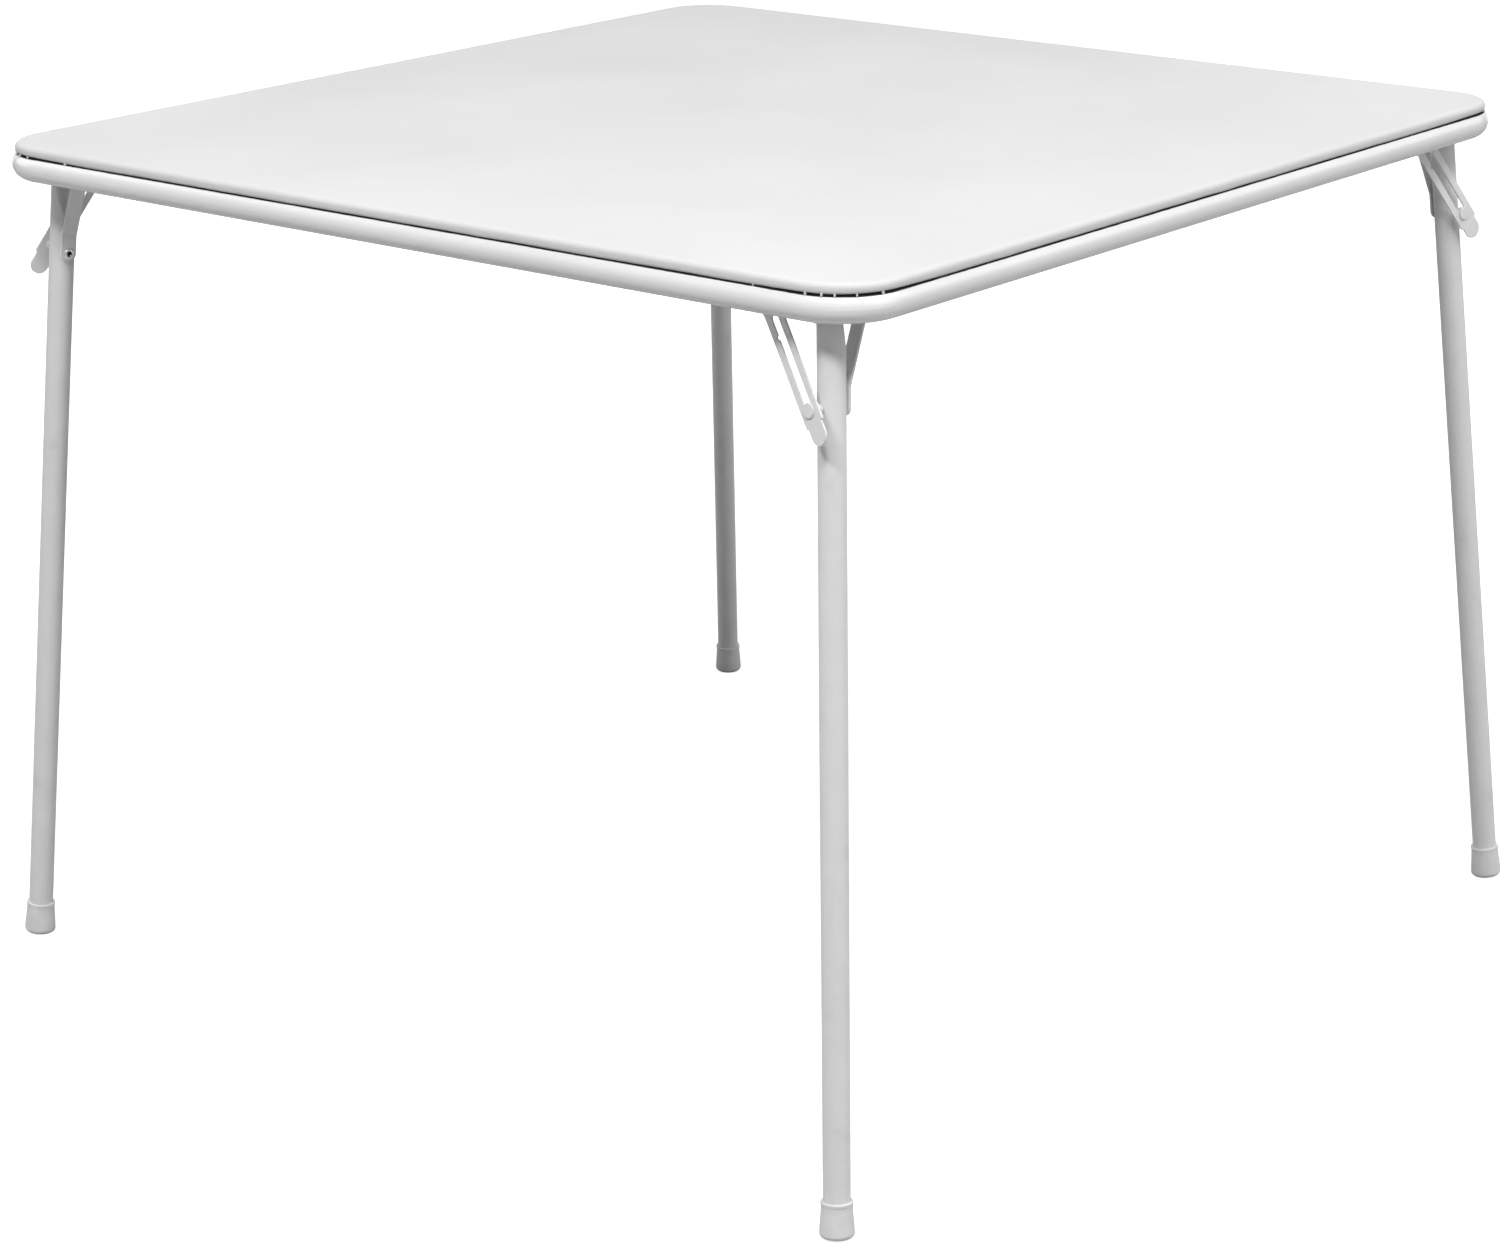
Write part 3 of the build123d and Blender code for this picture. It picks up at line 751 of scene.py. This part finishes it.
    def sway(self, place: Vector) -> Vector:
        """Uneven pull of the cover at a point: foam that gives, and a lip that waves.

        Args:
            place: Point of the even cover.

        Returns:
            How far the point moves.
        """
        level = Vector((place.x, place.y, 0))
        edge = self.corner_radius - (level - self.core_point(place)).length
        if place.z < self.wrap_level + self.thickness and edge > self.rail_inset / 2:
            return Vector((0, 0, 0))
        slow = noise.noise(level / self.slow_run)
        quick = noise.noise(Vector((place.x, place.y, self.quick_layer)) / self.quick_run)
        side = clamp((self.top_level - place.z) / (self.top_level - self.lip_level), 0.0, 1.0)
        corner = min(abs(place.x), abs(place.y)) / self.core
        near = clamp((corner - (1 - self.lift_share)) / self.lift_share, 0.0, 1.0)
        waving = self.wave * (self.slow_share * slow + self.quick_share * quick) * side
        lifted = self.corner_lift * near**2 * side**2
        dented = (self.flat_give * slow - self.flat_crease * abs(quick)) * (1 - side)
        return Vector((0, 0, waving + lifted + dented))

    def tuck_mesh(self) -> bmesh.types.BMesh:
        """Model the tucks at the corners: small folds of vinyl that stick out under the lip.

        Returns:
            All the tucks as one mesh.
        """
        mesh = bmesh.new()
        quarter = pi / 4 * self.corner_radius
        depth, width, height = self.tuck_size[1], self.tuck_size[0], self.tuck_size[2]
        for corner in Corner:
            mirrored = 1 if corner.value % 2 == 0 else -1
            for number, place in enumerate(self.tuck_places_mm):
                along = (place * mirrored + corner.value * self.tuck_shift_mm) * MM
                turn = clamp(along, -quarter, quarter) / self.corner_radius - pi / 4
                straight = max(0.0, abs(along) - quarter) * (1 if along > 0 else -1)
                out = Vector((cos(turn), sin(turn), 0))
                run = Vector((-sin(turn), cos(turn), 0))
                reach = self.corner_radius - depth * self.tuck_inset_share * MM
                centre = Vector((self.core, -self.core, 0)) + out * reach + run * straight
                centre.z = self.lip_level + self.tuck_rise
                swing = abs(sin(self.tuck_rhythm * number + corner.value))
                size = Vector((depth, width, height)) * (self.tuck_least + self.tuck_spread * swing)
                made = bmesh.ops.create_uvsphere(
                    mesh, u_segments=12, v_segments=8, radius=MM)["verts"]
                bmesh.ops.scale(mesh, verts=made, vec=size)
                bmesh.ops.rotate(
                    mesh, verts=made, cent=(0, 0, 0), matrix=Matrix.Rotation(turn, 4, "Z"))
                bmesh.ops.translate(mesh, verts=made, vec=centre)
                bmesh.ops.rotate(mesh, verts=made, cent=(0, 0, 0), matrix=corner.turn)
        return mesh

    def foam_mesh(self) -> bmesh.types.BMesh:
        """Model the foam: a rounded square sheet with an eased top edge.

        Returns:
            The foam's closed mesh.
        """
        mesh = bmesh.new()
        bmesh.ops.create_grid(mesh, x_segments=1, y_segments=1, size=self.half - self.foam_inset)
        bmesh.ops.bevel(
            mesh, geom=mesh.verts[:], offset=self.corner_radius - self.foam_inset, segments=16,
            profile=0.5, affect="VERTICES", material=-1)
        bottom = self.top_level - self.thickness - self.foam_thickness
        bmesh.ops.translate(mesh, verts=mesh.verts[:], vec=(0, 0, bottom))
        raised = bmesh.ops.extrude_face_region(
            mesh, geom=mesh.faces[:], use_keep_orig=True)["geom"]
        lifted = {item for item in raised if isinstance(item, bmesh.types.BMVert)}
        bmesh.ops.translate(
            mesh, verts=list(lifted), vec=(0, 0, self.foam_thickness - self.foam_gap))
        rim = [edge for edge in mesh.edges if all(vert in lifted for vert in edge.verts)]
        bmesh.ops.bevel(
            mesh, geom=rim, offset=self.foam_ease, segments=4, profile=0.5, affect="EDGES",
            material=-1)
        bmesh.ops.recalc_face_normals(mesh, faces=mesh.faces)
        return mesh


@dataclass
class Rim:
    """The rim tube with its welded corner brackets and the screws into the board."""

    half: float = 431.8 * MM
    flange_top: float = 667.9 * MM
    flange_depth: float = 14.5 * MM
    flange_inset: float = 24.08 * MM
    flange_first: float = 52.28 * MM
    flange_length: float = 54.0 * MM
    bead_length: float = 13.0 * MM
    bead_radius: float = 1.5 * MM
    bead_flat: float = 0.8
    bead_offset: float = 1.1 * MM
    beads: int = 3
    ripple: float = 0.06
    ripple_run: float = 0.9 * MM

    def build(self) -> None:
        """Dress the tube, brackets and screws, and lay the weld beads."""
        dress("rim_tube", RAIL_ENAMEL)
        for corner in Corner:
            dress(f"{corner.prefix}_corner_bracket", BRACKET_ENAMEL)
        dress("board_screws", RIVET_ZINC)
        settle(self.bead_mesh(), "flange_welds", BRACKET_ENAMEL, "top")

    def bead_mesh(self) -> bmesh.types.BMesh:
        """Model the painted weld beads under the flanges: short rippled runs against the tube.

        Returns:
            All the beads as one mesh.
        """
        mesh = bmesh.new()
        level = self.flange_top - self.flange_depth
        across = self.half - self.flange_inset + self.bead_offset
        longer = self.bead_length / 2 / self.bead_radius
        for corner in Corner:
            for along_x in (True, False):
                for number in range(self.beads):
                    share = (number + 0.5) / self.beads
                    along = self.half - self.flange_first - share * self.flange_length
                    place = (along, -across, level) if along_x else (across, -along, level)
                    stretch = (longer, 1) if along_x else (1, longer)
                    made = bmesh.ops.create_uvsphere(
                        mesh, u_segments=16, v_segments=10, radius=self.bead_radius)["verts"]
                    bmesh.ops.scale(mesh, verts=made, vec=(*stretch, self.bead_flat))
                    for vert in made:
                        run = vert.co.x if along_x else vert.co.y
                        vert.co *= 1 + self.ripple * sin(run / self.ripple_run)
                    bmesh.ops.translate(mesh, verts=made, vec=place)
                    bmesh.ops.rotate(mesh, verts=made, cent=(0, 0, 0), matrix=corner.turn)
        return mesh


@dataclass
class LegSet:
    """The four legs with their caps, straps, rivets and slotted lock arms."""

    finishes: dict[str, Finish] = field(default_factory=lambda: {
        "leg": LEG_POWDER, "leg_strap": ARM_POWDER, "lock_arm": ARM_POWDER,
        "lock_stud": ARM_POWDER, "foot_cap": CAP_RUBBER, "leg_rivet": RIVET_ZINC,
        "hinge_sleeve": RIVET_ZINC, "hinge_pin": RIVET_ZINC, "arm_rivet": ARM_POWDER,
    })

    def build(self) -> None:
        """Dress every piece of the four corners."""
        for corner in Corner:
            for part, finish in self.finishes.items():
                dress(f"{corner.prefix}_{part}", finish)


@dataclass(frozen=True)
class Softbox:
    """A square soft light on a ring about the table.

    The bearing is in degrees from the camera's side, anticlockwise seen from above, the
    elevation in degrees, the size in metres and the power in watts.
    """

    bearing: float
    elevation: float
    size: float
    power: float


@dataclass
class Studio:
    """Pale floor, soft light before a white backdrop, and the camera."""

    focal_pixels: float = 3737.5
    frame_pixels: float = 1500.0
    centre_shift: tuple[float, float] = (48.8, 182.0)
    sensor: float = 36.0
    clip_end: float = 100.0
    eye: tuple[float, float, float] = (1.8925, -2.2942, 1.2243)
    right: tuple[float, float, float] = (0.77858, 0.62748, -0.00954)
    down: tuple[float, float, float] = (0.21724, -0.28373, -0.93397)
    ahead: tuple[float, float, float] = (-0.58875, 0.7251, -0.35722)

    floor_half: float = 40.0
    floor_colour: str = "#B4B4B4"
    floor_glow: float = 0.84
    glow_reach: tuple[float, float] = (0.9, 2.2)

    aim_height: float = 0.5
    view_bearing: float = -50.7
    softbox_distance: float = 4.0
    softboxes: dict[str, Softbox] = field(default_factory=lambda: {
        "overhead": Softbox(0, 90, 2.2, 20.0),
        "left_low": Softbox(-110, 22, 2.2, 31.0),
        "left_front_low": Softbox(-60, 22, 2.2, 9.0),
        "front_left_low": Softbox(-20, 22, 2.2, 5.0),
        "right_front_low": Softbox(60, 22, 2.2, 26.0),
        "right_low": Softbox(110, 22, 2.2, 14.0),
        "left_front_high": Softbox(-38, 50, 0.45, 62.0),
        "front_high": Softbox(0, 50, 0.6, 60.0),
        "right_front_high": Softbox(45, 50, 1.1, 34.0),
        "right_high": Softbox(90, 50, 1.1, 35.0),
        "back_high": Softbox(180, 50, 2.2, 22.0),
        "left_back_low": Softbox(-150, 10, 2.2, 14.0),
        "right_back_low": Softbox(150, 10, 2.2, 14.0),
    })

    def build(self) -> None:
        """Set up the view, floor, backdrop and lights."""
        self.camera()
        self.floor()
        self.backdrop()
        for name, box in self.softboxes.items():
            self.hang(name, box)
        bpy.context.scene.view_settings.view_transform = "Standard"

    def camera(self) -> None:
        """Place the camera at the photograph's viewing angle."""
        lens = bpy.data.cameras.new("view")
        lens.sensor_width = self.sensor
        lens.lens = self.focal_pixels / self.frame_pixels * self.sensor
        lens.shift_x = -self.centre_shift[0] / self.frame_pixels
        lens.shift_y = self.centre_shift[1] / self.frame_pixels
        lens.clip_end = self.clip_end
        camera = bpy.data.objects.new("view", lens)
        right, down, ahead = (
            Vector(axis).normalized() for axis in (self.right, self.down, self.ahead))
        turn = Matrix((right, -down, -ahead)).transposed().to_4x4()
        camera.matrix_world = Matrix.Translation(self.eye) @ turn
        bpy.context.scene.collection.objects.link(camera)
        bpy.context.scene.camera = camera

    def floor(self) -> None:
        """Lay a plain pale floor, whose glow fades towards the table's feet."""
        mesh = bmesh.new()
        bmesh.ops.create_grid(mesh, x_segments=1, y_segments=1, size=self.floor_half)
        data = bpy.data.meshes.new("floor")
        mesh.to_mesh(data)
        mesh.free()
        material, tree, place = blank_material("pale_floor")
        seen = add_node(tree, "ShaderNodeLightPath").outputs["Is Camera Ray"]
        away = add_node(tree, "ShaderNodeVectorMath", {0: place}, operation="LENGTH")
        near, far = self.glow_reach
        level = add_node(tree, "ShaderNodeMapRange", {
            "Value": away.outputs["Value"], "From Min": near, "From Max": far,
            "To Min": self.floor_glow, "To Max": 1.0})
        glow = add_node(
            tree, "ShaderNodeMath", {0: seen, 1: level.outputs["Result"]}, operation="MULTIPLY")
        shader = add_node(tree, "ShaderNodeBsdfPrincipled", {
            "Base Color": linear(self.floor_colour), "Roughness": 0.9, "Specular IOR Level": 0.1,
            "Emission Color": linear(WHITE), "Emission Strength": glow.outputs["Value"]})
        add_node(tree, "ShaderNodeOutputMaterial", {"Surface": shader.outputs["BSDF"]})
        data.materials.append(material)
        floor = bpy.data.objects.new("floor", data)
        bpy.context.scene.collection.objects.link(floor)

    def backdrop(self) -> None:
        """Set a white backdrop that is seen but lights nothing itself."""
        world = bpy.data.worlds.new("backdrop")
        bpy.context.scene.world = world
        world.use_nodes = True
        tree = world.node_tree
        tree.nodes.clear()
        seen = add_node(tree, "ShaderNodeLightPath").outputs["Is Camera Ray"]
        sky = add_node(tree, "ShaderNodeBackground", {"Color": linear(WHITE), "Strength": seen})
        add_node(tree, "ShaderNodeOutputWorld", {"Surface": sky.outputs["Background"]})

    def hang(self, name: str, box: Softbox) -> None:
        """Hang one soft light, turned to the table.

        Args:
            name: Name of the light.
            box: Its place, size and power.
        """
        light = bpy.data.lights.new(name, "AREA")
        light.shape = "SQUARE"
        light.size = box.size
        light.energy = box.power
        lamp = bpy.data.objects.new(name, light)
        across, up = radians(self.view_bearing + box.bearing), radians(box.elevation)
        reach = self.softbox_distance * Vector((
            cos(up) * cos(across), cos(up) * sin(across), sin(up)))
        turn = (-reach).to_track_quat("-Z", "Y").to_matrix().to_4x4()
        lamp.matrix_world = Matrix.Translation(Vector((0, 0, self.aim_height)) + reach) @ turn
        bpy.context.scene.collection.objects.link(lamp)


def main() -> None:
    """Build the table's pieces in order, then the studio."""
    logging.basicConfig(level=logging.INFO, format="%(name)s: %(message)s")
    PaddedTop().build()
    Rim().build()
    LegSet().build()
    Studio().build()


if __name__ == "__main__":
    main()
